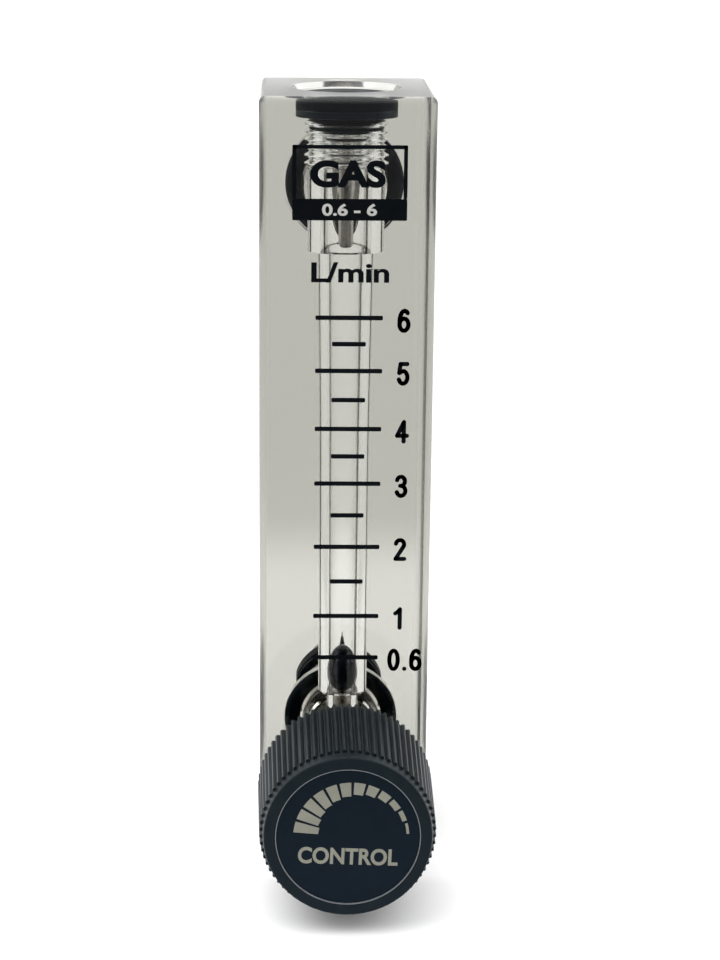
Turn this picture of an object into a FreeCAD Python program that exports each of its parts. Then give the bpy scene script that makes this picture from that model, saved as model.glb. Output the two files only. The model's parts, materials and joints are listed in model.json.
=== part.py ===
"""Panel-mounted gas flow regulator: a clear block with a tapered bore and ball float,
a needle valve with a ribbed knob in front, and two threaded fittings behind.

Millimetres. The origin is the centre of the block's rear face, midway between the two ports.
+Z is up along the block, -Y points out of its front (the knob side) and +X is to the right.
"""
import FreeCAD, Part
import math
import os

import Sketcher
from FreeCAD import Placement, Rotation, Vector

doc = FreeCAD.newDocument("gas_flow_regulator")
sheet = doc.addObject("Spreadsheet::Sheet", "Sizes")


class Size:
    """A length with its value and the expression that gives it from the spreadsheet."""

    def __init__(self, value, text):
        self.value = value
        self.text = text

    def _with(self, other, sign, swap=False):
        if not isinstance(other, Size):
            other = Size(other, "(%r)" % other)
        first, second = (other, self) if swap else (self, other)
        results = {
            "+": lambda a, b: a + b,
            "-": lambda a, b: a - b,
            "*": lambda a, b: a * b,
            "/": lambda a, b: a / b,
        }
        value = results[sign](first.value, second.value)
        return Size(value, "(%s %s %s)" % (first.text, sign, second.text))

    def __add__(self, other):
        return self._with(other, "+")

    def __radd__(self, other):
        return self._with(other, "+", swap=True)

    def __sub__(self, other):
        return self._with(other, "-")

    def __rsub__(self, other):
        return self._with(other, "-", swap=True)

    def __mul__(self, other):
        return self._with(other, "*")

    def __rmul__(self, other):
        return self._with(other, "*", swap=True)

    def __truediv__(self, other):
        return self._with(other, "/")

    def __neg__(self):
        return 0 - self

    def root(self):
        return Size(math.sqrt(self.value), "sqrt(%s)" % self.text)


def size(alias, value, note):
    """Write one driving dimension to the sheet and return it."""
    row = size.row
    size.row += 1
    sheet.set("A%d" % row, note)
    sheet.set("B%d" % row, str(value))
    sheet.setAlias("B%d" % row, alias)
    return Size(float(value), "Sizes." + alias)


size.row = 1

# ---- driving dimensions -------------------------------------------------------------------
block_width = size("block_width", 20, "clear block, side to side")
block_depth = size("block_depth", 22, "clear block, front to back")
block_height = size("block_height", 90.5, "clear block, top to bottom")
block_round = size("block_round", 0.8, "rounding along the block's edges")
port_spacing = size("port_spacing", 67.3, "between the two port axes")
fit_gap = size("fit_gap", 0.05, "radial gap between assembled pieces")
squeeze = size("squeeze", 0.02, "radial interference of the top plug and its seal")

thread_major = size("thread_major", 4.864, "G1/8 thread, crest radius")
thread_minor = size("thread_minor", 4.3, "G1/8 thread, root radius")
thread_pitch = size("thread_pitch", 0.907, "G1/8 thread, pitch")

counterbore_radius = size("counterbore_radius", 5.85, "recess for the top plug")
counterbore_depth = size("counterbore_depth", 3, "recess for the top plug")
mouth_chamfer = size("mouth_chamfer", 0.6, "chamfer at the recess's mouth")
tapped_depth = size("tapped_depth", 9, "end of the plug's tapped hole, from the top")
bore_radius = size("bore_radius", 4.45, "outlet chamber under the tapped hole")
bore_depth = size("bore_depth", 18.5, "end of the outlet chamber and top of the taper, from the top")
taper_top_radius = size("taper_top_radius", 3.34, "tapered bore, upper radius")
taper_mid_depth = size("taper_mid_depth", 40, "change to a finer taper, from the top")
taper_mid_radius = size("taper_mid_radius", 3.04, "tapered bore, radius at that change")
taper_end_depth = size("taper_end_depth", 72.6, "end of the tapered bore, from the top")
taper_end_radius = size("taper_end_radius", 2.93, "tapered bore, lower radius")
shoulder_depth = size("shoulder_depth", 72.9, "flat foot of the tapered bore, from the top")
shoulder_round = size("shoulder_round", 0.3, "bevel between the taper and its foot")
feed_radius = size("feed_radius", 1.88, "feed hole between valve and tapered bore")

plug_recess = size("plug_recess", 0.8, "top plug, head below the block's top")
plug_length = size("plug_length", 4, "top plug, head and thread together")
plug_socket_flats = size("plug_socket_flats", 4, "top plug, hexagon socket across flats")
plug_socket_depth = size("plug_socket_depth", 1.2, "top plug, depth of the hexagon socket")
seal_section = size("seal_section", 0.8, "top plug seal, thickness")
stop_radius = size("stop_radius", 1.3, "float stop pin, radius")
stop_depth = size("stop_depth", 18.3, "float stop pin, lower end from the top")
stop_grip = size("stop_grip", 2, "float stop pin, length held in the plug")
float_radius = size("float_radius", 2.84, "ball float, radius")
rest_sink = size("rest_sink", 0.2, "float rest's top, below the foot of the taper")
rest_length = size("rest_length", 3, "float rest, length")
rest_blade = size("rest_blade", 0.5, "float rest, thickness of its two crossed blades")

port_depth = size("port_depth", 7, "tapped rear port, depth")
passage_radius = size("passage_radius", 1.7, "drilled passages behind the ports")
shank_length = size("shank_length", 14, "fitting, threaded length behind the block")
spigot_radius = size("spigot_radius", 4, "fitting, plain end radius")
spigot_length = size("spigot_length", 5, "fitting, plain end length")
fitting_bore = size("fitting_bore", 2.2, "fitting, bore radius")
ring_radius = size("ring_radius", 7.05, "port ring, outer radius")
ring_section = size("ring_section", 2, "port ring, thickness")
ring_recess_radius = size("ring_recess_radius", 7.2, "recess for the port ring, radius")
ring_recess_depth = size("ring_recess_depth", 1.8, "recess for the port ring, depth")
washer_radius = size("washer_radius", 5.65, "panel washer, radius")
washer_thickness = size("washer_thickness", 0.6, "panel washer, thickness")
washer_offset = size("washer_offset", 8.6, "panel washer, distance behind the block")
nut_radius = size("nut_radius", 5.75, "panel nut, radius over its round edge")
nut_flats = size("nut_flats", 11, "panel nut, across flats")
nut_thickness = size("nut_thickness", 3, "panel nut, thickness")

chamber_radius = size("chamber_radius", 2.6, "needle chamber, radius")
chamber_front = size("chamber_front", 4, "bonnet hole's end, in front of the bore axis")
seat_start = size("seat_start", 1.5, "valve seat's face, behind the bore axis")
seat_length = size("seat_length", 1.7, "valve seat, length")
orifice_radius = size("orifice_radius", 1.1, "valve seat, orifice radius")
bonnet_flats = size("bonnet_flats", 11, "bonnet hexagon across flats")
bonnet_hex_start = size("bonnet_hex_start", 1, "bonnet hexagon's back, in front of the block")
bonnet_hex_length = size("bonnet_hex_length", 2, "bonnet hexagon, thickness")
bonnet_neck_radius = size("bonnet_neck_radius", 3.6, "bonnet neck, radius")
bonnet_length = size("bonnet_length", 5.2, "bonnet, front end in front of the block")
lock_nut_flats = size("lock_nut_flats", 9, "lock nut across flats")
lock_nut_length = size("lock_nut_length", 1.7, "lock nut, thickness")
stem_radius = size("stem_radius", 2, "valve stem, radius")
stem_clearance = size("stem_clearance", 0.04, "valve stem, running gap in the bonnet")
needle_radius = size("needle_radius", 1.45, "needle, radius where its cone starts")
needle_tip = size("needle_tip", 0.4, "needle, radius of its tip")
valve_lift = size("valve_lift", 2.1, "needle's distance from closed, as built")
stem_ring_depth = size("stem_ring_depth", 0.55, "stem seal groove, depth")
stem_ring_width = size("stem_ring_width", 0.6, "stem seal groove, width")
stem_ring_offset = size("stem_ring_offset", 3, "stem seal groove, behind the bonnet's front")
needle_length = size("needle_length", 4, "needle, length of its cone")
retainer_offset = size("retainer_offset", 0.7, "stem retainer, in front of the needle's cone")
retainer_thickness = size("retainer_thickness", 0.6, "stem retainer, thickness")
retainer_radius = size("retainer_radius", 2.3, "stem retainer, radius")
washer_recess = size("washer_recess", 0.8, "thrust washer, thickness and recess in the knob")
thrust_radius = size("thrust_radius", 3.6, "thrust washer, radius")

knob_back = size("knob_back", 8, "knob's back, in front of the block")
knob_front = size("knob_front", 23, "knob's front rim, in front of the block")
knob_back_radius = size("knob_back_radius", 10.12, "knob over its ribs, back")
knob_rib_radius = size("knob_rib_radius", 9.85, "knob over its ribs, front")
knob_band_radius = size("knob_band_radius", 9.56, "knob, plain band where the ribs end")
knob_rim_radius = size("knob_rim_radius", 9.4, "knob, front edge of its plain band")
knob_band = size("knob_band", 1.4, "knob, plain band in front of its ribs")
rib_gap_depth = size("rib_gap_depth", 0.38, "knob, depth of a gap between ribs")
knob_rib_count = size("knob_rib_count", 72, "knob, number of ribs")
rib_gap_mouth = size("rib_gap_mouth", 0.66, "knob, width of a gap at the ribs' crests")
rib_gap_floor = size("rib_gap_floor", 0.12, "knob, width of a gap at its bottom")
knob_wall = size("knob_wall", 1.8, "knob, wall under its ribs")
knob_face = size("knob_face", 3, "knob, thickness of its front")
knob_hub_radius = size("knob_hub_radius", 5, "knob, hub radius")
label_radius = size("label_radius", 8.1, "knob, recess radius for its label")
label_recess = size("label_recess", 1, "knob, recess depth for its label")
label_thickness = size("label_thickness", 0.82, "label disc, thickness")
trim_width = size("trim_width", 0.12, "trim ring, width")
trim_height = size("trim_height", 0.97, "trim ring, height")
insert_radius = size("insert_radius", 3, "knob insert, radius")
insert_start = size("insert_start", 0.4, "knob insert, set in from the knob's back")
insert_length = size("insert_length", 9.6, "knob insert, length")
stem_grip = size("stem_grip", 8.5, "length of stem held in the insert")
screw_radius = size("screw_radius", 1.45, "set screw, radius")
screw_length = size("screw_length", 3.8, "set screw, length")
screw_offset = size("screw_offset", 3.2, "set screw, in front of the knob's back")
screw_socket_flats = size("screw_socket_flats", 1.5, "set screw, socket across flats")
screw_socket_depth = size("screw_socket_depth", 1.2, "set screw, socket depth")

# ---- places worked out from the driving dimensions ----------------------------------------
top = block_height / 2
axis_y = -block_depth / 2
port_z = port_spacing / 2
front_y = -block_depth
valve_axis = (0, 0, -port_z)
bore_axis = (0, axis_y, 0)
ABOUT_Y = Rotation(Vector(1, 0, 0), 90)
OVERRUN = 0.5


# ---- building blocks ----------------------------------------------------------------------
def bind(item, name, amount):
    """Set one property, by expression where the amount comes from the sheet."""
    if isinstance(amount, Size):
        item.setExpression(name, amount.text)
    else:
        setattr(item, name, amount)


def place(item, where=(0, 0, 0)):
    """Bind an object's position; `where` holds Sizes or plain numbers."""
    for letter, amount in zip("xyz", where):
        text = amount.text if isinstance(amount, Size) else repr(float(amount))
        item.setExpression("Placement.Base." + letter, text)


def new_body(label):
    body = doc.addObject("PartDesign::Body", label)
    body.Label = label
    return body


def new_sketch(body, name, plane):
    """A sketch on one of its own body's origin planes."""
    sketch = body.newObject("Sketcher::SketchObject", name)
    face = [p for p in body.Origin.OriginFeatures if p.Role == plane][0]
    sketch.AttachmentSupport = (face, [""])
    sketch.MapMode = "FlatFace"
    return sketch


def hold_point(sketch, edge, end, across, up):
    """Fix one end of a sketch edge at (across, up) from the sketch's origin."""
    for kind, axis, amount in (("DistanceX", -2, across), ("DistanceY", -1, up)):
        number = amount.value if isinstance(amount, Size) else amount
        if abs(number) < 1e-9:
            sketch.addConstraint(Sketcher.Constraint("PointOnObject", edge, end, axis))
            continue
        index = sketch.addConstraint(Sketcher.Constraint(kind, -1, 1, edge, end, number))
        if isinstance(amount, Size):
            sketch.setExpression("Constraints[%d]" % index, amount.text)


def outline(sketch, points):
    """A closed outline of straight lines through the points, fully constrained."""
    spots = []
    for across, up in points:
        pair = [a.value if isinstance(a, Size) else a for a in (across, up)]
        spots.append(Vector(pair[0], pair[1], 0))
    count = len(spots)
    first = sketch.GeometryCount
    for i in range(count):
        sketch.addGeometry(Part.LineSegment(spots[i], spots[(i + 1) % count]), False)
    for i in range(count):
        after = first + (i + 1) % count
        sketch.addConstraint(Sketcher.Constraint("Coincident", first + i, 2, after, 1))
        hold_point(sketch, first + i, 1, *points[i])


def circle(sketch, radius):
    """A circle about the sketch's origin."""
    ring = sketch.addGeometry(Part.Circle(Vector(0, 0, 0), Vector(0, 0, 1), radius.value), False)
    sketch.addConstraint(Sketcher.Constraint("Coincident", ring, 3, -1, 1))
    index = sketch.addConstraint(Sketcher.Constraint("Radius", ring, radius.value))
    sketch.setExpression("Constraints[%d]" % index, radius.text)


def hexagon(sketch, flats):
    """A regular hexagon about the sketch's origin, flat sides left and right."""
    corner = flats / math.sqrt(3)
    turns = [math.radians(30 + 60 * i) for i in range(6)]
    outline(sketch, [(corner * math.cos(a), corner * math.sin(a)) for a in turns])


def turned(label, points, along="y"):
    """A turned piece: points are (distance along the axis, radius)."""
    body = new_body(label)
    if along == "y":
        sketch = new_sketch(body, label + "_profile", "YZ_Plane")
        outline(sketch, points)
        axis = "H_Axis"
    else:
        sketch = new_sketch(body, label + "_profile", "XZ_Plane")
        outline(sketch, [(radius, height) for height, radius in points])
        axis = "V_Axis"
    turn = body.newObject("PartDesign::Revolution", label + "_turned")
    turn.Profile = sketch
    turn.ReferenceAxis = (sketch, [axis])
    turn.Angle = 360
    body.Tip = turn
    return body


def thread(start, turns, crest, root):
    """Ring-shaped ridges along an axis, as (distance, radius) points from `start` on."""
    points = []
    for i in range(turns):
        here = start + thread_pitch * i
        points.append((here, crest))
        points.append((here + thread_pitch * 0.125, crest))
        points.append((here + thread_pitch * 0.5, root))
        points.append((here + thread_pitch * 0.625, root))
    return points


def hexagonal(label, flats, hole, front, length):
    """A hexagonal piece about the valve axis with a round hole, starting at `front`."""
    body = new_body(label)
    sketch = new_sketch(body, label + "_hexagon", "XZ_Plane")
    hexagon(sketch, flats)
    circle(sketch, hole)
    pad = body.newObject("PartDesign::Pad", label + "_pad")
    pad.Profile = sketch
    bind(pad, "Length", length)
    body.Tip = pad
    place(body, (0, front + length, -port_z))
    return body


def primitive(kind, name, where, turn=None, **amounts):
    """A Part primitive with its sizes bound and its place set."""
    item = doc.addObject("Part::" + kind, name)
    if turn is not None:
        item.Placement = Placement(Vector(), turn)
    for setting, amount in amounts.items():
        bind(item, setting, amount)
    place(item, where)
    return item


def cut(name, base, *tools):
    item = doc.addObject("Part::Cut", name)
    item.Base = base
    item.Tool = tools[0] if len(tools) == 1 else fuse(name + "_tools", *tools)
    return item


def fuse(name, *pieces):
    item = doc.addObject("Part::MultiFuse", name)
    item.Shapes = list(pieces)
    return item


def pair(name, *pieces):
    """Two identical loose pieces that share one node."""
    item = doc.addObject("Part::Compound", name)
    item.Links = list(pieces)
    return item


nodes = []


def keep(item, name):
    """Make an object one of the exported pieces."""
    item.Label = name
    nodes.append(item)
    return item


# ---- clear block --------------------------------------------------------------------------
def block_blank():
    """The plain block with its edges rounded."""
    body = new_body("block_blank")
    sketch = new_sketch(body, "block_section", "XY_Plane")
    side = block_width / 2
    outline(sketch, [(-side, -block_depth), (side, -block_depth), (side, 0), (-side, 0)])
    pad = body.newObject("PartDesign::Pad", "block_pad")
    pad.Profile = sketch
    bind(pad, "Length", block_height)
    doc.recompute()
    rounding = body.newObject("PartDesign::Fillet", "block_rounding")
    rounding.Base = (pad, ["Edge%d" % (i + 1) for i in range(len(pad.Shape.Edges))])
    bind(rounding, "Radius", block_round)
    body.Tip = rounding
    place(body, (0, 0, -top))
    return body


plug_floor = top - counterbore_depth
plug_crest = plug_floor - thread_pitch * 0.915
plug_tap_turns = 6


def gas_channel():
    """Everything drilled down from the top: recess, tapped hole, chamber, taper and feed."""
    first_crest = plug_crest - thread_pitch * (plug_tap_turns - 1)
    points = [
        (-port_z, 0),
        (-port_z, feed_radius),
        (top - shoulder_depth, feed_radius),
        (top - shoulder_depth, taper_end_radius - shoulder_round),
        (top - taper_end_depth, taper_end_radius),
        (top - taper_mid_depth, taper_mid_radius),
        (top - bore_depth, taper_top_radius),
        (top - bore_depth, bore_radius),
        (top - tapped_depth, bore_radius),
        (top - tapped_depth, thread_minor),
        (first_crest - thread_pitch * 0.375, thread_minor),
    ]
    points += thread(first_crest, plug_tap_turns, thread_major, thread_minor)
    points += [
        (plug_floor, thread_minor),
        (plug_floor, counterbore_radius),
        (top - mouth_chamfer, counterbore_radius),
        (top, counterbore_radius + mouth_chamfer),
        (top + OVERRUN, counterbore_radius + mouth_chamfer),
        (top + OVERRUN, 0),
    ]
    body = turned("gas_channel", points, along="z")
    place(body, bore_axis)
    return body


port_turns = 4
port_crest = -port_depth + thread_pitch * 0.5


def port_hole(label, height, passage_end):
    """A tapped port in the rear face, with the recess for its ring and its passage."""
    points = [
        (passage_end, 0),
        (passage_end, passage_radius),
        (-port_depth, passage_radius),
        (-port_depth, thread_minor),
    ]
    points += thread(port_crest, port_turns, thread_major, thread_minor)
    points += [
        (-ring_recess_depth, thread_minor),
        (-ring_recess_depth, ring_recess_radius),
        (OVERRUN, ring_recess_radius),
        (OVERRUN, 0),
    ]
    body = turned(label, points)
    place(body, (0, 0, height))
    return body


bonnet_turns = 6
bonnet_crest = front_y + thread_pitch * 0.8
bonnet_hole_end = axis_y - chamber_front
seat_face = axis_y + seat_start
seat_end = seat_face + seat_length
hole_overlap = 0.1


def valve_hole():
    """The tapped hole for the bonnet and the needle chamber behind it."""
    points = [(front_y - OVERRUN, 0), (front_y - OVERRUN, thread_minor)]
    points += [(front_y + thread_pitch * 0.4, thread_minor)]
    points += thread(bonnet_crest, bonnet_turns, thread_major, thread_minor)
    points += [
        (bonnet_hole_end, thread_minor),
        (bonnet_hole_end, chamber_radius),
        (seat_end, chamber_radius),
        (seat_end, 0),
    ]
    body = turned("valve_hole", points)
    place(body, valve_axis)
    return body


keep(
    cut(
        "block",
        block_blank(),
        gas_channel(),
        port_hole("outlet_hole", port_z, axis_y),
        port_hole("inlet_hole", -port_z, seat_end - hole_overlap),
        valve_hole(),
    ),
    "body_block",
)

# ---- top plug, its seal and the float's stop ----------------------------------------------
plug_top = top - plug_recess
plug_foot = plug_top - plug_length
plug_head = plug_floor + seal_section
plug_radius = counterbore_radius + squeeze
plug_shank = thread_minor + squeeze
shank_root = thread_minor - fit_gap


def top_plug():
    """A headed, threaded plug with a hexagon socket above and the stop pin's hole below."""
    pin_hole = stop_radius + fit_gap / 2
    edge = 0.25
    points = [
        (plug_foot, pin_hole),
        (plug_foot, plug_shank),
        (plug_crest - thread_pitch * 0.375, plug_shank),
    ]
    points += thread(plug_crest, 1, thread_major - fit_gap, plug_shank)
    points += [
        (plug_head, plug_shank),
        (plug_head, plug_radius),
        (plug_top - edge, plug_radius),
        (plug_top, plug_radius - edge),
        (plug_top, 0),
        (plug_foot + stop_grip, 0),
        (plug_foot + stop_grip, pin_hole),
    ]
    turned_plug = turned("plug_turned", points, along="z")
    place(turned_plug, bore_axis)
    socket = primitive(
        "Prism",
        "plug_socket",
        (0, axis_y, plug_top - plug_socket_depth),
        Polygon=6,
        Circumradius=plug_socket_flats / math.sqrt(3),
        Height=plug_socket_depth + OVERRUN,
    )
    return cut("plug", turned_plug, socket)


def plug_seal():
    """A rubber ring squeezed between the plug's head, its shank and the recess's wall."""
    inner = plug_shank + fit_gap
    low = plug_floor + 0.01
    high = plug_head - 0.01
    body = turned(
        "plug_ring",
        [(low, inner), (low, plug_radius), (high, plug_radius), (high, inner)],
        along="z",
    )
    place(body, bore_axis)
    return body


def stop_pin():
    """A round pin with a flat, lightly bevelled lower end, held in the plug."""
    low = top - stop_depth
    high = plug_foot + stop_grip - fit_gap
    edge = 0.3
    body = turned(
        "stop",
        [(low, 0), (low, stop_radius - edge), (low + edge, stop_radius), (high, stop_radius), (high, 0)],
        along="z",
    )
    place(body, bore_axis)
    return body


keep(top_plug(), "top_plug")
keep(plug_seal(), "top_plug_seal")
keep(stop_pin(), "float_stop_pin")

# ---- ball float and the crossed blades that it rests on -----------------------------------
rest_top = top - shoulder_depth - rest_sink


def float_rest():
    """Two crossed blades across the feed hole; gas passes between them."""
    reach = feed_radius - fit_gap
    round_bar = primitive(
        "Cylinder", "rest_round", (0, axis_y, rest_top - rest_length), Radius=reach, Height=rest_length
    )
    blades = [
        primitive(
            "Box",
            name,
            (-wide / 2, axis_y - deep / 2, rest_top - rest_length),
            Length=wide,
            Width=deep,
            Height=rest_length,
        )
        for name, wide, deep in (
            ("rest_blade_x", 2 * reach, rest_blade),
            ("rest_blade_y", rest_blade, 2 * reach),
        )
    ]
    item = doc.addObject("Part::MultiCommon", "rest")
    item.Shapes = [round_bar, fuse("rest_cross", *blades)]
    return item


keep(float_rest(), "float_rest")
float_z = rest_top + float_radius + 0.01
keep(primitive("Sphere", "ball", (0, axis_y, float_z), Radius=float_radius), "float_ball")

# ---- fittings behind the block, one at each port ------------------------------------------
shank_radius = thread_major - fit_gap
nut_hole = shank_radius + fit_gap


def fitting(label, height):
    """A threaded nipple: short thread in the port, long thread for the panel, plain end."""
    inner_end = port_crest + thread_pitch * 0.6
    shoulder = fit_gap / 2 - ring_recess_depth
    panel_thread = 2.6
    turns = 11
    edge = 0.4
    points = [(inner_end, fitting_bore), (inner_end, shank_root)]
    points += thread(port_crest + thread_pitch, port_turns - 1, shank_radius, shank_root)
    points += [
        (shoulder, shank_root),
        (shoulder, shank_radius),
        (panel_thread - thread_pitch * 0.5, shank_radius),
    ]
    points += [
        (place_along - thread_pitch * 0.5, radius)
        for place_along, radius in thread(panel_thread + thread_pitch * 0.5, turns, shank_radius, shank_root)
    ]
    points += [
        (shank_length, spigot_radius),
        (shank_length + spigot_length - edge, spigot_radius),
        (shank_length + spigot_length, spigot_radius - edge),
        (shank_length + spigot_length, fitting_bore),
    ]
    body = turned(label, points)
    place(body, (0, 0, height))
    return body


def port_ring(label, height):
    """The round ring that seals a port against the panel, in its recess."""
    return primitive(
        "Torus",
        label,
        (0, ring_section / 2 - ring_recess_depth + 0.01, height),
        turn=ABOUT_Y,
        Radius1=ring_radius - ring_section / 2,
        Radius2=ring_section / 2,
    )


def panel_washer(label, height):
    far = washer_offset + washer_thickness
    body = turned(
        label,
        [
            (washer_offset, nut_hole),
            (washer_offset, washer_radius),
            (far, washer_radius),
            (far, nut_hole),
        ],
    )
    place(body, (0, 0, height))
    return body


def panel_nut(label, height):
    """A round nut with two spanner flats."""
    near = washer_offset + washer_thickness + fit_gap
    far = near + nut_thickness
    edge = 0.4
    body = turned(
        label + "_round",
        [
            (near, nut_hole),
            (near, nut_radius - edge),
            (near + edge, nut_radius),
            (far - edge, nut_radius),
            (far, nut_radius - edge),
            (far, nut_hole),
        ],
    )
    place(body, (0, 0, height))
    flats = primitive(
        "Box",
        label + "_flats",
        (-nut_flats / 2, near - OVERRUN, height - nut_radius - OVERRUN),
        Length=nut_flats,
        Width=nut_thickness + 2 * OVERRUN,
        Height=nut_radius * 2 + 2 * OVERRUN,
    )
    both = doc.addObject("Part::MultiCommon", label)
    both.Shapes = [body, flats]
    return both


keep(fitting("inlet", -port_z), "inlet_fitting")
keep(fitting("outlet", port_z), "outlet_fitting")
keep(port_ring("inlet_ring", -port_z), "inlet_oring")
keep(port_ring("outlet_ring", port_z), "outlet_oring")
keep(pair("washers", panel_washer("inlet_washer", -port_z), panel_washer("outlet_washer", port_z)),
     "panel_washers")
keep(pair("nuts", panel_nut("inlet_nut", -port_z), panel_nut("outlet_nut", port_z)), "panel_nuts")

# ---- valve seat, bonnet, its ring and lock nut --------------------------------------------
stem_hole = stem_radius + stem_clearance
hex_back = front_y - bonnet_hex_start
hex_front = hex_back - bonnet_hex_length
bonnet_front = front_y - bonnet_length


def valve_seat():
    """A ring with a sharp-edged orifice that the needle closes."""
    body = turned(
        "seat",
        [
            (seat_face + fit_gap, orifice_radius),
            (seat_face + fit_gap, chamber_radius - fit_gap),
            (seat_end - fit_gap, chamber_radius - fit_gap),
            (seat_end - fit_gap, orifice_radius),
        ],
    )
    place(body, valve_axis)
    return body


def bonnet():
    """The bushing that carries the stem: neck, hexagon and thread into the block."""
    edge = 0.3
    points = [
        (bonnet_front, stem_hole),
        (bonnet_front, bonnet_neck_radius - edge),
        (bonnet_front + edge, bonnet_neck_radius),
        (hex_front, bonnet_neck_radius),
        (hex_back, bonnet_neck_radius),
        (hex_back, shank_root),
        (front_y + thread_pitch * 0.4, shank_root),
    ]
    points += thread(bonnet_crest, bonnet_turns, shank_radius, shank_root)
    points += [(bonnet_hole_end - edge, shank_root), (bonnet_hole_end - edge, stem_hole)]
    body = turned("bonnet_turned", points)
    place(body, valve_axis)
    collar = hexagonal("bonnet_hexagon", bonnet_flats, stem_hole, hex_front, bonnet_hex_length)
    return fuse("bonnet", body, collar)


keep(valve_seat(), "valve_seat")
keep(bonnet(), "valve_bonnet")
keep(
    primitive(
        "Torus",
        "bonnet_ring",
        (0, front_y - bonnet_hex_start / 2, -port_z),
        turn=ABOUT_Y,
        Radius1=thread_minor + bonnet_hex_start / 2 + fit_gap,
        Radius2=bonnet_hex_start / 2 - 0.005,
    ),
    "bonnet_oring",
)
keep(
    hexagonal(
        "lock_nut",
        lock_nut_flats,
        bonnet_neck_radius + fit_gap,
        hex_front - fit_gap - lock_nut_length,
        lock_nut_length,
    ),
    "bonnet_lock_nut",
)

# ---- stem and what slides with it ---------------------------------------------------------
knob_back_y = front_y - knob_back
knob_front_y = front_y - knob_front
hub_back_y = knob_back_y - washer_recess
needle_slope = (needle_radius - needle_tip) / needle_length
cone_start = seat_face - (needle_radius - orifice_radius + fit_gap) / needle_slope - valve_lift
retainer_back = cone_start - retainer_offset
retainer_front = retainer_back - retainer_thickness
ring_back = bonnet_front + stem_ring_offset
groove_radius = stem_radius - stem_ring_depth
stem_front = hub_back_y - stem_grip


def needle_stem():
    """Stem with a tapered needle, a shoulder for the retainer and a seal groove."""
    edge = 0.3
    body = turned(
        "stem",
        [
            (stem_front, 0),
            (stem_front, stem_radius - edge),
            (stem_front + edge, stem_radius),
            (ring_back - stem_ring_width, stem_radius),
            (ring_back - stem_ring_width, groove_radius),
            (ring_back, groove_radius),
            (ring_back, stem_radius),
            (retainer_front, stem_radius),
            (retainer_front, needle_radius),
            (cone_start, needle_radius),
            (cone_start + needle_length, needle_tip),
            (cone_start + needle_length, 0),
        ],
    )
    place(body, valve_axis)
    return body


def flat_ring(label, front, length, inner, outer):
    body = turned(
        label,
        [(front, inner), (front, outer), (front + length, outer), (front + length, inner)],
    )
    place(body, valve_axis)
    return body


keep(needle_stem(), "needle_stem")
keep(
    primitive(
        "Torus",
        "stem_ring",
        (0, ring_back - stem_ring_width / 2, -port_z),
        turn=ABOUT_Y,
        Radius1=groove_radius + stem_ring_depth / 2,
        Radius2=stem_ring_depth / 2 - 0.01,
    ),
    "stem_seal",
)
keep(
    flat_ring(
        "retainer",
        retainer_front + fit_gap / 2,
        retainer_thickness,
        needle_radius + fit_gap,
        retainer_radius,
    ),
    "stem_retainer",
)
keep(
    flat_ring(
        "thrust_washer",
        hub_back_y + fit_gap,
        washer_recess - fit_gap,
        stem_hole,
        thrust_radius,
    ),
    "stem_washer",
)

# ---- knob ---------------------------------------------------------------------------------
rib_front_y = knob_front_y + knob_band
recess_y = knob_front_y + label_recess
face_inner_y = knob_front_y + knob_face
insert_back_y = hub_back_y - insert_start
insert_front_y = insert_back_y - insert_length
insert_hole = insert_radius + fit_gap / 2
screw_y = hub_back_y - screw_offset


def ribbed_shell():
    """The moulded knob: ribs outside, hub inside, a shallow recess for the label in front."""
    lip = 0.25
    points = [
        (recess_y, 0),
        (recess_y, label_radius),
        (knob_front_y, label_radius),
        (knob_front_y, knob_rim_radius - lip),
        (knob_front_y + lip * 0.3, knob_rim_radius - lip * 0.3),
        (knob_front_y + lip, knob_rim_radius),
        (rib_front_y, knob_band_radius),
        (rib_front_y, knob_rib_radius),
        (knob_back_y, knob_back_radius),
        (knob_back_y, knob_back_radius - knob_wall),
        (face_inner_y, knob_rib_radius - knob_wall),
        (face_inner_y, knob_hub_radius),
        (hub_back_y, knob_hub_radius),
        (hub_back_y, insert_hole),
        (insert_front_y - fit_gap, insert_hole),
        (insert_front_y - fit_gap, 0),
    ]
    body = turned("knob_turned", points)
    plain = body.Tip
    sketch = new_sketch(body, "rib_gap", "XZ_Plane")
    spread = (knob_back_radius - knob_rib_radius) / (knob_front - knob_band - knob_back)
    crest = knob_back_radius + spread * (block_depth + knob_back)
    low = crest - rib_gap_depth
    flank = (rib_gap_mouth - rib_gap_floor) / rib_gap_depth / 2
    foot = rib_gap_floor / 2
    mouth = foot + flank * (rib_gap_depth + OVERRUN)
    outline(sketch, [(-foot, low), (foot, low), (mouth, crest + OVERRUN), (-mouth, crest + OVERRUN)])
    gap = body.newObject("PartDesign::Pocket", "rib_gap_cut")
    gap.Profile = sketch
    gap.Reversed = True
    gap.UseCustomVector = True
    gap.Direction = Vector(0, 1, spread.value)
    gap.AlongSketchNormal = True
    bind(gap, "Length", -rib_front_y)
    ribs = body.newObject("PartDesign::PolarPattern", "rib_gaps")
    ribs.Originals = [gap]
    ribs.Axis = ([f for f in body.Origin.OriginFeatures if f.Role == "Y_Axis"][0], [""])
    ribs.Angle = 360
    bind(ribs, "Occurrences", knob_rib_count)
    body.Tip = ribs
    place(body, valve_axis)
    doc.recompute()
    if not plain.Shape.Volume > gap.Shape.Volume > ribs.Shape.Volume:
        raise RuntimeError("the rib gaps cut nothing")
    return body


def screw_hole(label, radius):
    """A drilled hole for the set screw, straight down from the stem."""
    reach = knob_back_radius + OVERRUN
    return primitive(
        "Cylinder",
        label,
        (0, screw_y, -port_z - reach),
        Radius=radius,
        Height=reach - stem_radius,
    )


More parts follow.
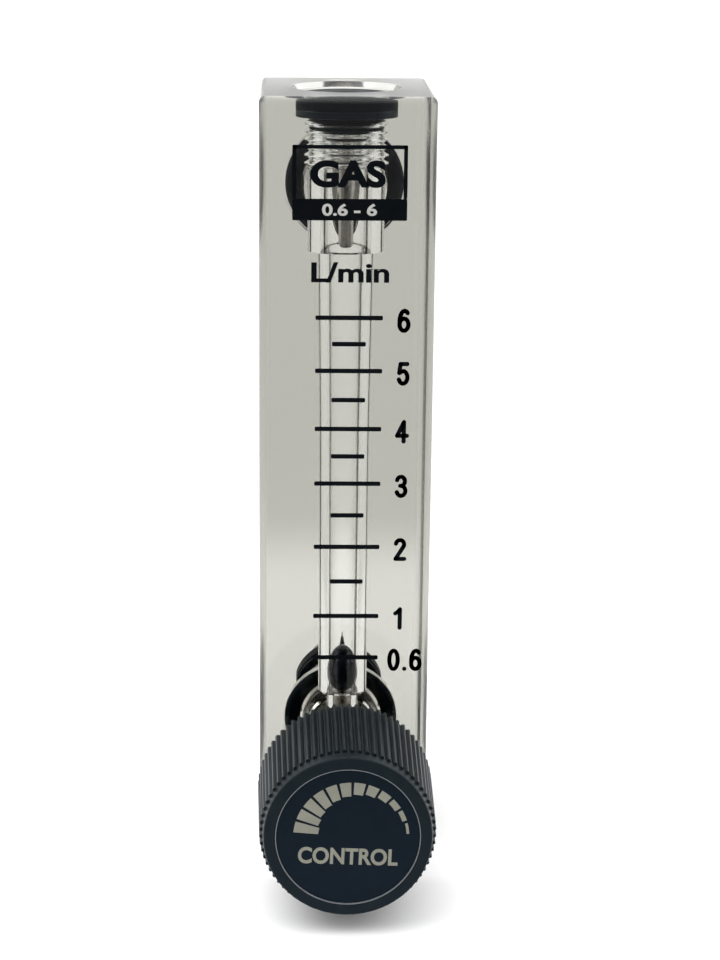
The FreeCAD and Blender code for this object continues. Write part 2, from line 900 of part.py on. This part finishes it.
def knob_insert():
    body = flat_ring("insert_turned", insert_front_y, insert_length, stem_hole - 0.02, insert_radius)
    return cut("insert", body, screw_hole("insert_screw_hole", screw_radius + fit_gap))


def set_screw():
    """A headless screw bearing on the stem, its socket facing outwards."""
    outer = stem_radius + fit_gap + screw_length
    edge = 0.2
    body = turned(
        "screw_turned",
        [
            (-outer, 0),
            (-outer, screw_radius - edge),
            (edge - outer, screw_radius),
            (-stem_radius - fit_gap - edge, screw_radius),
            (-stem_radius - fit_gap, screw_radius - edge),
            (-stem_radius - fit_gap, 0),
        ],
        along="z",
    )
    place(body, (0, screw_y, -port_z))
    socket = primitive(
        "Prism",
        "screw_socket",
        (0, screw_y, -port_z - outer - OVERRUN),
        Polygon=6,
        Circumradius=screw_socket_flats / math.sqrt(3),
        Height=screw_socket_depth + OVERRUN,
    )
    return cut("screw", body, socket)


keep(cut("shell", ribbed_shell(), screw_hole("shell_screw_hole", screw_radius + fit_gap)),
     "knob_shell")
keep(knob_insert(), "knob_insert")
keep(set_screw(), "knob_set_screw")
label_edge = label_radius - trim_width - fit_gap
body = turned(
    "label_disc",
    [
        (recess_y - label_thickness, 0),
        (recess_y - label_thickness, label_edge),
        (recess_y, label_edge),
        (recess_y, 0),
    ],
)
place(body, valve_axis)
keep(body, "knob_label")
keep(
    flat_ring(
        "trim",
        recess_y - trim_height,
        trim_height,
        label_radius - trim_width,
        label_radius - fit_gap / 2,
    ),
    "knob_trim_ring",
)

# ---- check and export ---------------------------------------------------------------------
doc.recompute()
for item in doc.Objects:
    if "Invalid" in item.State or "Error" in item.State:
        raise RuntimeError("%s failed: %s" % (item.Label, item.State))
for item in nodes:
    if item.Shape.isNull() or not item.Shape.isValid():
        raise RuntimeError("%s has no valid shape" % item.Label)

os.makedirs("parts", exist_ok=True)
for item in nodes:
    item.Shape.exportStep("parts/%s.step" % item.Label)
    box = item.Shape.BoundBox
    print("%-16s %9.2f mm3  x %.2f %.2f  y %.2f %.2f  z %.2f %.2f" % (
        item.Label, item.Shape.Volume, box.XMin, box.XMax, box.YMin, box.YMax, box.ZMin, box.ZMax))
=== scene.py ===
"""Looks for the panel-mounted gas flow regulator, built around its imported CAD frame."""
import json
import math

import bmesh
import bpy
from mathutils import Matrix, Vector


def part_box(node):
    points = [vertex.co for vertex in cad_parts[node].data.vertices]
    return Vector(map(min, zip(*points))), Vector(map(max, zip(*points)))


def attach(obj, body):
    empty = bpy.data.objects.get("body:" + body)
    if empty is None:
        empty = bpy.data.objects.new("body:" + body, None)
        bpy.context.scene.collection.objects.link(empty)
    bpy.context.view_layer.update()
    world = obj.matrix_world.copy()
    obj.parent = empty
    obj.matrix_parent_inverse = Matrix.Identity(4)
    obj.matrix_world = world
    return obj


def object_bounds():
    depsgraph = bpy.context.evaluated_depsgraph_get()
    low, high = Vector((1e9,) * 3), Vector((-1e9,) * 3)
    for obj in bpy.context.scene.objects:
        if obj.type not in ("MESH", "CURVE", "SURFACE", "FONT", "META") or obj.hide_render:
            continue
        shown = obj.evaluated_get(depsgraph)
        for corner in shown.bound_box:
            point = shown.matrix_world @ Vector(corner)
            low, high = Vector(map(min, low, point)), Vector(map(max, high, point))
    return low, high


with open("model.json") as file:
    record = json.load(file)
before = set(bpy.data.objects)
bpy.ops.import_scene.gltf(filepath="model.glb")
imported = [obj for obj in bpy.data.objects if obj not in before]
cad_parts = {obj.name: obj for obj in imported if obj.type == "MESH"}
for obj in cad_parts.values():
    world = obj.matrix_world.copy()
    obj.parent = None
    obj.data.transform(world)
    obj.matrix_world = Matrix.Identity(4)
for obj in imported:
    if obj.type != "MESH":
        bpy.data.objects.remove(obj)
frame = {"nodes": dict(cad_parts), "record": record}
cad_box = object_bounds()

MM = 0.001

# ---- places read from the frame -----------------------------------------------------------
BLOCK_LOW, BLOCK_HIGH = (Vector(corner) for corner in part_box("body_block"))
FRONT_Y = BLOCK_LOW.y
TOP_Z = BLOCK_HIGH.z
LABEL_LOW, LABEL_HIGH = (Vector(corner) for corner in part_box("knob_label"))
KNOB_Z = (LABEL_LOW.z + LABEL_HIGH.z) / 2
LABEL_Y = LABEL_LOW.y


# ---- materials ----------------------------------------------------------------------------
def new_material(name):
    """A material with its node tree, its output and its Principled shader."""
    material = bpy.data.materials.new(name)
    material.use_nodes = True
    shader = material.node_tree.nodes["Principled BSDF"]
    return material, material.node_tree, shader


def set_inputs(shader, **values):
    """Sets shader sockets by name, with _ for a space."""
    for name, value in values.items():
        shader.inputs[name.replace("_", " ")].default_value = value


def noise(tree, scale, detail=4.0, stretch=(1, 1, 1)):
    """A noise texture in the object's own coordinates, `scale` cells to the millimetre."""
    where = tree.nodes.new("ShaderNodeTexCoord")
    mapping = tree.nodes.new("ShaderNodeMapping")
    mapping.inputs["Scale"].default_value = [s / MM for s in stretch]
    texture = tree.nodes.new("ShaderNodeTexNoise")
    texture.inputs["Scale"].default_value = scale
    texture.inputs["Detail"].default_value = detail
    tree.links.new(where.outputs["Object"], mapping.inputs["Vector"])
    tree.links.new(mapping.outputs["Vector"], texture.inputs["Vector"])
    return texture.outputs["Fac"]


def ramp(tree, value, low, high, start=0.3, end=0.7):
    """Maps a value between two colours."""
    node = tree.nodes.new("ShaderNodeValToRGB")
    node.color_ramp.elements[0].position = start
    node.color_ramp.elements[1].position = end
    node.color_ramp.elements[0].color = (*low, 1)
    node.color_ramp.elements[1].color = (*high, 1)
    tree.links.new(value, node.inputs["Fac"])
    return node.outputs["Color"]


def span(tree, value, low, high):
    """Maps 0..1 to low..high."""
    node = tree.nodes.new("ShaderNodeMapRange")
    node.inputs["To Min"].default_value = low
    node.inputs["To Max"].default_value = high
    tree.links.new(value, node.inputs["Value"])
    return node.outputs["Result"]


def bump(tree, shader, value, depth, strength=0.5):
    """Bumps the surface by `depth` millimetres."""
    node = tree.nodes.new("ShaderNodeBump")
    node.inputs["Strength"].default_value = strength
    node.inputs["Distance"].default_value = depth * MM
    tree.links.new(value, node.inputs["Height"])
    tree.links.new(node.outputs["Normal"], shader.inputs["Normal"])


DARK_LIMIT = 0.02
DARK_SHEEN = (0.5, 0.75, 1.0, 1)


def plain_finish(name, low, high, roughness, grain=3.0, depth=0.004, **inputs):
    """A material with mottled colour, uneven roughness and a fine grain; a dark one has a bluish sheen."""
    material, tree, shader = new_material(name)
    set_inputs(shader, **inputs)
    if max(high) < DARK_LIMIT:
        shader.inputs["Specular Tint"].default_value = DARK_SHEEN
    fine = noise(tree, grain)
    broad = noise(tree, grain / 12)
    tree.links.new(ramp(tree, broad, low, high), shader.inputs["Base Color"])
    tree.links.new(span(tree, fine, *roughness), shader.inputs["Roughness"])
    bump(tree, shader, fine, depth)
    return material


def calculate(tree, operation, first, second):
    """One math node; an operand is an output or a plain number."""
    node = tree.nodes.new("ShaderNodeMath")
    node.operation = operation
    for index, operand in enumerate((first, second)):
        if isinstance(operand, (int, float)):
            node.inputs[index].default_value = operand
        else:
            tree.links.new(operand, node.inputs[index])
    return node.outputs["Value"]


MACHINED_RADIUS = 6.6 * MM
MACHINED_DEPTH = 9.3 * MM
DRILLED_ROUGHNESS = 0.16
SAWN_SKIN = 0.02 * MM
SAWN_ROUGHNESS = 0.3
EASED_EDGE = 0.78 * MM
EASED_ROUGHNESS = 0.4


def machined_roughness(tree):
    """Polished but for the block's sawn top, its eased upright edges, its recess and tapped hole."""
    where = tree.nodes.new("ShaderNodeTexCoord")
    split = tree.nodes.new("ShaderNodeSeparateXYZ")
    tree.links.new(where.outputs["Object"], split.inputs["Vector"])
    height = split.outputs["Z"]
    across = calculate(tree, "POWER", split.outputs["X"], 2.0)
    from_bore = calculate(tree, "SUBTRACT", split.outputs["Y"], (BLOCK_LOW.y + BLOCK_HIGH.y) / 2)
    deep = calculate(tree, "POWER", from_bore, 2.0)
    radius = calculate(tree, "SQRT", calculate(tree, "ADD", across, deep), 0.0)
    near_bore = calculate(tree, "LESS_THAN", radius, MACHINED_RADIUS)
    near_top = calculate(tree, "GREATER_THAN", height, TOP_Z - MACHINED_DEPTH)
    drilled = calculate(tree, "MULTIPLY", near_bore, near_top)
    sawn = calculate(tree, "GREATER_THAN", height, TOP_Z - SAWN_SKIN)
    at_side = calculate(tree, "GREATER_THAN", across, (BLOCK_HIGH.x - EASED_EDGE) ** 2)
    at_face = calculate(tree, "GREATER_THAN", deep, ((BLOCK_HIGH.y - BLOCK_LOW.y) / 2 - EASED_EDGE) ** 2)
    eased = calculate(tree, "MULTIPLY", at_side, at_face)
    rough = calculate(tree, "MULTIPLY", drilled, DRILLED_ROUGHNESS)
    rough = calculate(tree, "MAXIMUM", rough, calculate(tree, "MULTIPLY", eased, EASED_ROUGHNESS))
    return calculate(tree, "MAXIMUM", rough, calculate(tree, "MULTIPLY", sawn, SAWN_ROUGHNESS))


ACRYLIC_IOR = 1.49
ACRYLIC_SURFACE = (0.99, 0.99, 0.985, 1)
ACRYLIC_TINT = (0.5, 0.5, 0.455, 1)
ACRYLIC_DENSITY = 77.0


def acrylic():
    """Clear acrylic with a slight grey tint that builds up with depth."""
    material, tree, shader = new_material("clear_acrylic")
    set_inputs(shader, Transmission_Weight=1.0, IOR=ACRYLIC_IOR)
    tree.links.new(machined_roughness(tree), shader.inputs["Roughness"])
    shader.inputs["Base Color"].default_value = ACRYLIC_SURFACE
    tint = tree.nodes.new("ShaderNodeVolumeAbsorption")
    tint.inputs["Color"].default_value = ACRYLIC_TINT
    tint.inputs["Density"].default_value = ACRYLIC_DENSITY
    tree.links.new(tint.outputs["Volume"], tree.nodes["Material Output"].inputs["Volume"])
    return material


def rubber():
    """Black rings and seals, slightly blue."""
    return plain_finish("black_rubber", (0.0005, 0.002, 0.005), (0.001, 0.003, 0.0075),
                        (0.3, 0.42), grain=2.0, depth=0.006, Specular_IOR_Level=0.22)


def black_plastic():
    """The plug, nuts and washers: moulded, nearly without gloss."""
    return plain_finish("black_plastic", (0.001, 0.002, 0.0045), (0.002, 0.0035, 0.007),
                        (0.35, 0.5), grain=5.0, Specular_IOR_Level=0.06)


def knob_plastic():
    """The knob: dark grey with a fine moulded grain."""
    return plain_finish("knob_plastic", (0.0065, 0.0095, 0.0115), (0.009, 0.0125, 0.0145),
                        (0.3, 0.44), grain=6.0, depth=0.008, Specular_IOR_Level=0.1)


def label_film():
    """The knob's label: a smooth dark film."""
    return plain_finish("label_black", (0.002, 0.004, 0.0075), (0.003, 0.005, 0.009),
                        (0.2, 0.3), grain=9.0, depth=0.002, Specular_IOR_Level=0.12)


def metal(name, low, high, roughness, grain=2.0, stretch=(1, 1, 1)):
    """Turned metal: fine rings of roughness across a mottled colour."""
    material, tree, shader = new_material(name)
    set_inputs(shader, Metallic=1.0)
    rings = noise(tree, grain, stretch=stretch)
    broad = noise(tree, 0.3)
    tree.links.new(ramp(tree, broad, low, high), shader.inputs["Base Color"])
    tree.links.new(span(tree, rings, *roughness), shader.inputs["Roughness"])
    bump(tree, shader, rings, 0.003)
    return material


ALONG_Y = (0.6, 8, 0.6)
MATERIALS = {
    "clear_acrylic": acrylic(),
    "black_plastic": black_plastic(),
    "black_rubber": rubber(),
    "knob_plastic": knob_plastic(),
    "label_black": label_film(),
    "stainless": metal("stainless", (0.42, 0.4, 0.37), (0.5, 0.48, 0.45), (0.2, 0.36), stretch=ALONG_Y),
    "nickel_brass": metal("nickel_brass", (0.52, 0.5, 0.46), (0.6, 0.58, 0.54), (0.14, 0.28),
                          stretch=ALONG_Y),
    "brass": metal("brass", (0.62, 0.42, 0.17), (0.7, 0.5, 0.22), (0.18, 0.32), stretch=ALONG_Y),
    "float_black": plain_finish("float_black", (0.001, 0.0015, 0.005), (0.002, 0.0025, 0.007),
                                (0.08, 0.14), grain=2.0, depth=0.001, Specular_IOR_Level=0.12),
    # The trim ring's pale grey is partly its own glossy finish and partly painted highlight, standing in
    # for the light that the label's edge catches.
    "trim_gloss": plain_finish("trim_gloss", (0.13, 0.14, 0.155), (0.16, 0.17, 0.185),
                               (0.08, 0.16), grain=4.0, depth=0.001),
}


SMOOTH_ANGLE = math.radians(30)


def dress_nodes():
    """Give every CAD node the material that its record slot names, with sharp edges kept sharp."""
    for subpart in frame["record"]["subparts"]:
        node = frame["nodes"][subpart["node"]]
        node.data.materials.clear()
        node.data.materials.append(MATERIALS[subpart["material_slot"]])
        node.data.shade_smooth()
        node.data.set_sharp_from_angle(angle=SMOOTH_ANGLE)


dress_nodes()

# ---- printing on the block ----------------------------------------------------------------
INK_GAP = 0.015 * MM
INK_THICKNESS = 0.01 * MM
PRINT_Y = FRONT_Y - INK_GAP
PRINT_TURN = math.radians(0.16)
PRINT_MIDDLE = 43 * MM


def ink(name, low, high, roughness):
    """A matt printing ink."""
    return plain_finish(name, low, high, roughness, grain=6.0, depth=0.001, Specular_IOR_Level=0.1)


BLACK_INK = ink("black_ink", (0.001, 0.001, 0.0015), (0.003, 0.003, 0.0035), (0.5, 0.65))
PALE_INK = ink("pale_ink", (0.21, 0.21, 0.175), (0.24, 0.24, 0.2), (0.4, 0.5))
WHITE_INK = ink("white_ink", (0.5, 0.5, 0.48), (0.56, 0.56, 0.54), (0.45, 0.6))


def turn_print(piece, turn, x, z):
    """Turn a printed piece a little about (x, z), as a print lies slightly askew."""
    middle = Vector((x, 0, z))
    spin = Matrix.Translation(middle) @ Matrix.Rotation(turn, 4, "Y") @ Matrix.Translation(-middle)
    piece.data.transform(spin)


def print_piece(name, outlines, depth_y, material, body):
    """Flat printed shapes facing -Y; an outline is a list of (x, z) points, in metres."""
    mesh = bpy.data.meshes.new(name)
    bm = bmesh.new()
    for points in outlines:
        front = [bm.verts.new((x, depth_y - INK_THICKNESS, z)) for x, z in points]
        back = [bm.verts.new((x, depth_y, z)) for x, z in points]
        bm.faces.new(front)
        bm.faces.new(list(reversed(back)))
        count = len(points)
        for i in range(count):
            j = (i + 1) % count
            bm.faces.new((front[j], front[i], back[i], back[j]))
    bmesh.ops.recalc_face_normals(bm, faces=bm.faces)
    bm.to_mesh(mesh)
    bm.free()
    return finish_piece(name, mesh, material, body)


def finish_piece(name, mesh, material, body):
    """Put a printed mesh in the scene, on its body and with its material."""
    piece = bpy.data.objects.new(name, mesh)
    bpy.context.scene.collection.objects.link(piece)
    mesh.materials.append(material)
    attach(piece, body)
    return piece


def rounded_bar(x_middle, z_middle, width, height, radius, steps=5):
    """A rectangle with rounded corners, as (x, z) points."""
    points = []
    corners = ((1, 1, 0), (-1, 1, 90), (-1, -1, 180), (1, -1, 270))
    for side_x, side_z, start in corners:
        for i in range(steps + 1):
            turn = math.radians(start + 90 * i / steps)
            points.append((
                x_middle + side_x * (width / 2 - radius) + radius * math.cos(turn),
                z_middle + side_z * (height / 2 - radius) + radius * math.sin(turn),
            ))
    return points


def lettering(name, text, height, width, x, z, depth_y, material, body, weight=0.0):
    """A line of the built-in typeface as thin solid print, centred at (x, z)."""
    curve = bpy.data.curves.new(name, "FONT")
    curve.body = text
    curve.offset = weight
    curve.resolution_u = 6
    curve.fill_mode = "BOTH"
    curve.extrude = 0.0001
    helper = bpy.data.objects.new(name + "_helper", curve)
    bpy.context.scene.collection.objects.link(helper)
    bpy.context.view_layer.update()
    mesh = bpy.data.meshes.new_from_object(helper.evaluated_get(bpy.context.evaluated_depsgraph_get()))
    bpy.data.objects.remove(helper)
    bpy.data.curves.remove(curve)
    low = Vector(min(v.co[i] for v in mesh.vertices) for i in range(3))
    high = Vector(max(v.co[i] for v in mesh.vertices) for i in range(3))
    scale_x = width / (high.x - low.x)
    scale_z = height / (high.y - low.y)
    for v in mesh.vertices:
        across = (v.co.x - (low.x + high.x) / 2) * scale_x
        up = (v.co.y - (low.y + high.y) / 2) * scale_z
        into = 0.0 if v.co.z < 0 else -INK_THICKNESS
        v.co = (x + across, depth_y + into, z + up)
    mesh.materials.clear()
    return finish_piece(name, mesh, material, body)


SCALE_MARKS = (
    ("6", 25.01), ("5", 31.21), ("4", 38.07), ("3", 44.61), ("2", 52.29), ("1", 60.81), ("0.6", 65.98),
)
HALF_MARKS = (28.07, 34.64, 41.34, 48.45, 56.54)
SCALE_X = 0.22
LONG_MARK = 7.7
SHORT_MARK = 3.88
MARK_THICKNESS = 0.53
MARK_CORNER = 0.15
FIGURE_X = 6.48
WIDE_FIGURE_SHIFT = 0.77
FIGURE_DROP = 0.3
FIGURE_STROKE = 0.51
FIGURE_SPACING = 1.85
POINT_SPACING = 0.75


def arc(x, z, radius_x, radius_z, start, end, steps=20):
    """Points along part of an ellipse, from one angle to another in degrees."""
    turns = [math.radians(start + (end - start) * i / steps) for i in range(steps + 1)]
    return [(x + radius_x * math.cos(a), z + radius_z * math.sin(a)) for a in turns]


# Each figure is drawn with strokes inside a box 1 mm wide and 2.3 mm high about its middle.
FIGURES = {
    "0": [arc(0, 0, 0.5, 1.15, 0, 360, 40)],
    "1": [[(-0.42, 0.62), (-0.1, 0.85), (0.12, 1.15), (0.12, -1.15)]],
    "2": [arc(0, 0.62, 0.48, 0.53, 170, -25) + [(-0.5, -1.15), (0.52, -1.15)]],
    "3": [arc(-0.02, 0.6, 0.46, 0.55, 165, -75) + [(-0.1, 0.06)], arc(0, -0.55, 0.5, 0.6, 95, -165)],
    "4": [[(0.2, -1.15), (0.2, 1.15), (-0.56, -0.48), (0.56, -0.48)]],
    "5": [[(0.46, 1.15), (-0.3, 1.15), (-0.44, 0.1)] + arc(0, -0.42, 0.5, 0.73, 130, -160)],
    "6": [arc(0, -0.45, 0.5, 0.7, 0, 360, 40),
          arc(0.06, -0.1, 0.56, 1.25, 190, 90) + arc(0.04, 0.75, 0.38, 0.4, 80, 20, 8)],
    ".": [[(0, -1.12), (0, -1.15)]],
}


def capsule(first, second, width, steps=8):
    """The outline of a straight stroke with round ends."""
    along = math.atan2(second[1] - first[1], second[0] - first[0])
    points = []
    for middle, start in ((second, along - math.pi / 2), (first, along + math.pi / 2)):
        for i in range(steps + 1):
            turn = start + math.pi * i / steps
            points.append((middle[0] + width / 2 * math.cos(turn), middle[1] + width / 2 * math.sin(turn)))
    return points


def figure_strokes(text, x, z, spacing):
    """The outlines of one figure or number, centred at (x, z) in metres."""
    outlines = []
    total = sum(spacing[letter] for letter in text)
    pen = x - total / 2
    for letter in text:
        middle = pen + spacing[letter] / 2
        pen += spacing[letter]
        for path in FIGURES[letter]:
            spots = [(middle + px * MM, z + pz * MM) for px, pz in path]
            for first, second in zip(spots, spots[1:]):
                outlines.append(capsule(first, second, FIGURE_STROKE * MM))
    return outlines


def scale_marks():
    """Long marks with figures, short marks between them and the unit above."""
    middle = SCALE_X * MM
    marks_at = [(LONG_MARK, depth) for figure, depth in SCALE_MARKS]
    marks_at += [(SHORT_MARK, depth) for depth in HALF_MARKS]
    bars = [
        rounded_bar(middle, TOP_Z - depth * MM, length * MM, MARK_THICKNESS * MM, MARK_CORNER * MM)
        for length, depth in marks_at
    ]
    spacing = {letter: FIGURE_SPACING * MM for letter in FIGURES}
    spacing["."] = POINT_SPACING * MM
    for figure, depth in SCALE_MARKS:
        x = FIGURE_X if len(figure) == 1 else FIGURE_X + WIDE_FIGURE_SHIFT
        bars += figure_strokes(figure, x * MM, TOP_Z - (depth + FIGURE_DROP) * MM, spacing)
    marks = print_piece("scale_marks", bars, PRINT_Y, BLACK_INK, "housing")
    unit = lettering("scale_unit", "L/min", 2.35 * MM, 8.86 * MM, 0.28 * MM, TOP_Z - 19.78 * MM,
                     PRINT_Y, BLACK_INK, "housing", weight=0.028)
    for piece in (marks, unit):
        turn_print(piece, PRINT_TURN, middle, TOP_Z - PRINT_MIDDLE)


scale_marks()


def title_box():
    """A printed frame with a generic word above a solid bar."""
    left, right = -6.25 * MM, 6.7 * MM
    upper, middle, lower = (TOP_Z - depth * MM for depth in (5.35, 11.4, 13.85))
    line = 0.44 * MM
    bars = [
        rounded_bar((left + right) / 2, upper - line / 2, right - left, line, line / 3),
        rounded_bar(left + line / 2, (upper + middle) / 2, line, upper - middle, line / 3),
        rounded_bar(right - line / 2, (upper + middle) / 2, line, upper - middle, line / 3),
        rounded_bar((left + right) / 2, (middle + lower) / 2, right - left, middle - lower, line / 3),
    ]
    print_piece("title_frame", bars, PRINT_Y, BLACK_INK, "housing")
    lettering("title_word", "GAS", 3.1 * MM, 8.5 * MM, 0.0, TOP_Z - 8.6 * MM,
              PRINT_Y, BLACK_INK, "housing", weight=0.045)
    lettering("title_range", "0.6 - 6", 1.4 * MM, 6.2 * MM, 0.2 * MM, (middle + lower) / 2,
              PRINT_Y - 2 * INK_THICKNESS, WHITE_INK, "housing", weight=0.03)


title_box()

# ---- print on the knob's label ------------------------------------------------------------
FAN_BARS = 12
FAN_GAP = 0.2
FAN_MIDDLE = (0.35, 0.05)
FAN_RADIUS = 6.43
FAN_START = 175.0
FAN_LONGEST = 2.75
FAN_SHORTEST = 0.3
WORD_DROP = 2.3 * MM
WORD_TURN = math.radians(2)


def knob_fan():
    """A generic more-and-less mark: a fan of bars over the top, longest on the left."""
    outlines = []
    for i in range(FAN_BARS):
        start, end = FAN_START * (1 - i / FAN_BARS), FAN_START * (1 - (i + 1 - FAN_GAP) / FAN_BARS)
        inner = FAN_RADIUS - FAN_LONGEST + (FAN_LONGEST - FAN_SHORTEST) * i / (FAN_BARS - 1)
        points = arc(*FAN_MIDDLE, FAN_RADIUS, FAN_RADIUS, start, end, 4)
        points += arc(*FAN_MIDDLE, inner, inner, end, start, 4)
        outlines.append([(x * MM, KNOB_Z + z * MM) for x, z in points])
    print_piece("knob_fan", outlines, LABEL_Y - INK_GAP, PALE_INK, "knob")


def knob_word():
    """A generic word under the fan, lying slightly askew."""
    middle = KNOB_Z - WORD_DROP
    word = lettering("knob_word", "CONTROL", 2.0 * MM, 11.1 * MM, 0.0, middle,
                     LABEL_Y - INK_GAP, PALE_INK, "knob", weight=0.03)
    turn_print(word, WORD_TURN, 0, middle)


knob_fan()
knob_word()

# ---- floor, light and camera --------------------------------------------------------------
FLOOR_Z = cad_box[0][2] - 0.2 * MM
FLOOR_CORNERS = ((-8, -4), (8, -4), (8, 12), (-8, 12))
# The round patch under the object, paler than the grey floor around it, is a painted pool of light that
# keeps the floor near the object white.
PAINTED_LIGHT_MIDDLE_Y = 0.02
PAINTED_LIGHT_EDGE = (0.07, 0.115)
# The floor's darkening towards the front is painted shade: a dark sheet standing in for the dim front of
# the room, which the clear block and the glossy parts reflect.
PAINTED_SHADE_FADE = (-0.25, -0.06)
PAINTED_LIGHT_TONE = (0.9, 0.9, 0.9)
TABLE_TONE = (0.63, 0.63, 0.615)
PAINTED_SHADE_TONE = (0.14, 0.14, 0.14)


def smooth_step(tree, value, start, end, low=0.0, high=1.0):
    """Maps start..end to low..high with soft ends."""
    node = tree.nodes.new("ShaderNodeMapRange")
    node.interpolation_type = "SMOOTHSTEP"
    node.inputs["From Min"].default_value = start
    node.inputs["From Max"].default_value = end
    node.inputs["To Min"].default_value = low
    node.inputs["To Max"].default_value = high
    tree.links.new(value, node.inputs["Value"])
    return node.outputs["Result"]


def floor():
    """A grey floor, darker towards the front as painted shade, with a round paler patch of painted light
    under the object.
    """
    mesh = bpy.data.meshes.new("floor")
    bm = bmesh.new()
    bm.faces.new([bm.verts.new((x, y, FLOOR_Z)) for x, y in FLOOR_CORNERS])
    bm.to_mesh(mesh)
    bm.free()
    sheet = bpy.data.objects.new("floor", mesh)
    bpy.context.scene.collection.objects.link(sheet)
    material, tree, shader = new_material("pale_floor")
    set_inputs(shader, Roughness=0.9, Specular_IOR_Level=0.1)
    where = tree.nodes.new("ShaderNodeTexCoord")
    split = tree.nodes.new("ShaderNodeSeparateXYZ")
    tree.links.new(where.outputs["Object"], split.inputs["Vector"])
    # painted shade: the floor darkens towards the front
    front = smooth_step(tree, split.outputs["Y"], *PAINTED_SHADE_FADE)
    table_and_painted_shade = ramp(tree, front, PAINTED_SHADE_TONE, TABLE_TONE, 0.0, 1.0)
    # painted light: a round paler patch about the object's middle
    distance = tree.nodes.new("ShaderNodeVectorMath")
    distance.operation = "DISTANCE"
    distance.inputs[1].default_value = (0, PAINTED_LIGHT_MIDDLE_Y, FLOOR_Z)
    tree.links.new(where.outputs["Object"], distance.inputs[0])
    outside_painted_light = smooth_step(tree, distance.outputs["Value"], *PAINTED_LIGHT_EDGE)
    tones = tree.nodes.new("ShaderNodeMix")
    tones.data_type = "RGBA"
    tones.inputs["A"].default_value = (*PAINTED_LIGHT_TONE, 1)
    tree.links.new(outside_painted_light, tones.inputs["Factor"])
    tree.links.new(table_and_painted_shade, tones.inputs["B"])
    tree.links.new(tones.outputs["Result"], shader.inputs["Base Color"])
    mesh.materials.append(material)


def sun(name, direction, spread, strength):
    """A wide soft light shining along `direction`."""
    light = bpy.data.lights.new(name, "SUN")
    light.angle = math.radians(spread)
    light.energy = strength
    lamp = bpy.data.objects.new(name, light)
    lamp.rotation_euler = Vector(direction).to_track_quat("-Z", "Y").to_euler()
    bpy.context.scene.collection.objects.link(lamp)


BRIGHT_WAY = (0, 0.18, 0.98)
LIGHT_FADE = (-0.25, 0.95)
FRONT_LIGHT = 0.3
OVERHEAD_LIGHT = 2.0


def studio():
    """A room that is bright overhead and behind and dim in front, and a soft sun."""
    world = bpy.data.worlds.new("studio")
    world.use_nodes = True
    tree = world.node_tree
    where = tree.nodes.new("ShaderNodeTexCoord")
    lean = tree.nodes.new("ShaderNodeVectorMath")
    lean.operation = "DOT_PRODUCT"
    lean.inputs[1].default_value = BRIGHT_WAY
    tree.links.new(where.outputs["Generated"], lean.inputs[0])
    strength = smooth_step(tree, lean.outputs["Value"], *LIGHT_FADE, FRONT_LIGHT, OVERHEAD_LIGHT)
    background = tree.nodes["Background"]
    background.inputs["Color"].default_value = (1, 1, 1, 1)
    tree.links.new(strength, background.inputs["Strength"])
    bpy.context.scene.world = world
    sun("key", (0.45, 0.2, -1), 50, 0.9)


CAMERA_LENS = 87.76
CAMERA_PLACE = (-7.17 * MM, -284.06 * MM, 72.93 * MM)
CAMERA_PITCH = math.radians(15.325)
CAMERA_YAW = math.radians(1.936)
CAMERA_ROLL = math.radians(0.586)


def camera():
    """A short telephoto view from the front and a little above."""
    data = bpy.data.cameras.new("camera")
    data.lens = CAMERA_LENS
    data.sensor_width = 36.0
    data.clip_start = 0.01
    view = bpy.data.objects.new("camera", data)
    bpy.context.scene.collection.objects.link(view)
    view.rotation_euler = (
        Matrix.Rotation(-CAMERA_YAW, 3, "Z")
        @ Matrix.Rotation(math.pi / 2 - CAMERA_PITCH, 3, "X")
        @ Matrix.Rotation(CAMERA_ROLL, 3, "Z")
    ).to_euler()
    view.location = CAMERA_PLACE
    bpy.context.scene.camera = view


floor()
studio()
camera()
bpy.context.scene.view_settings.view_transform = "Standard"
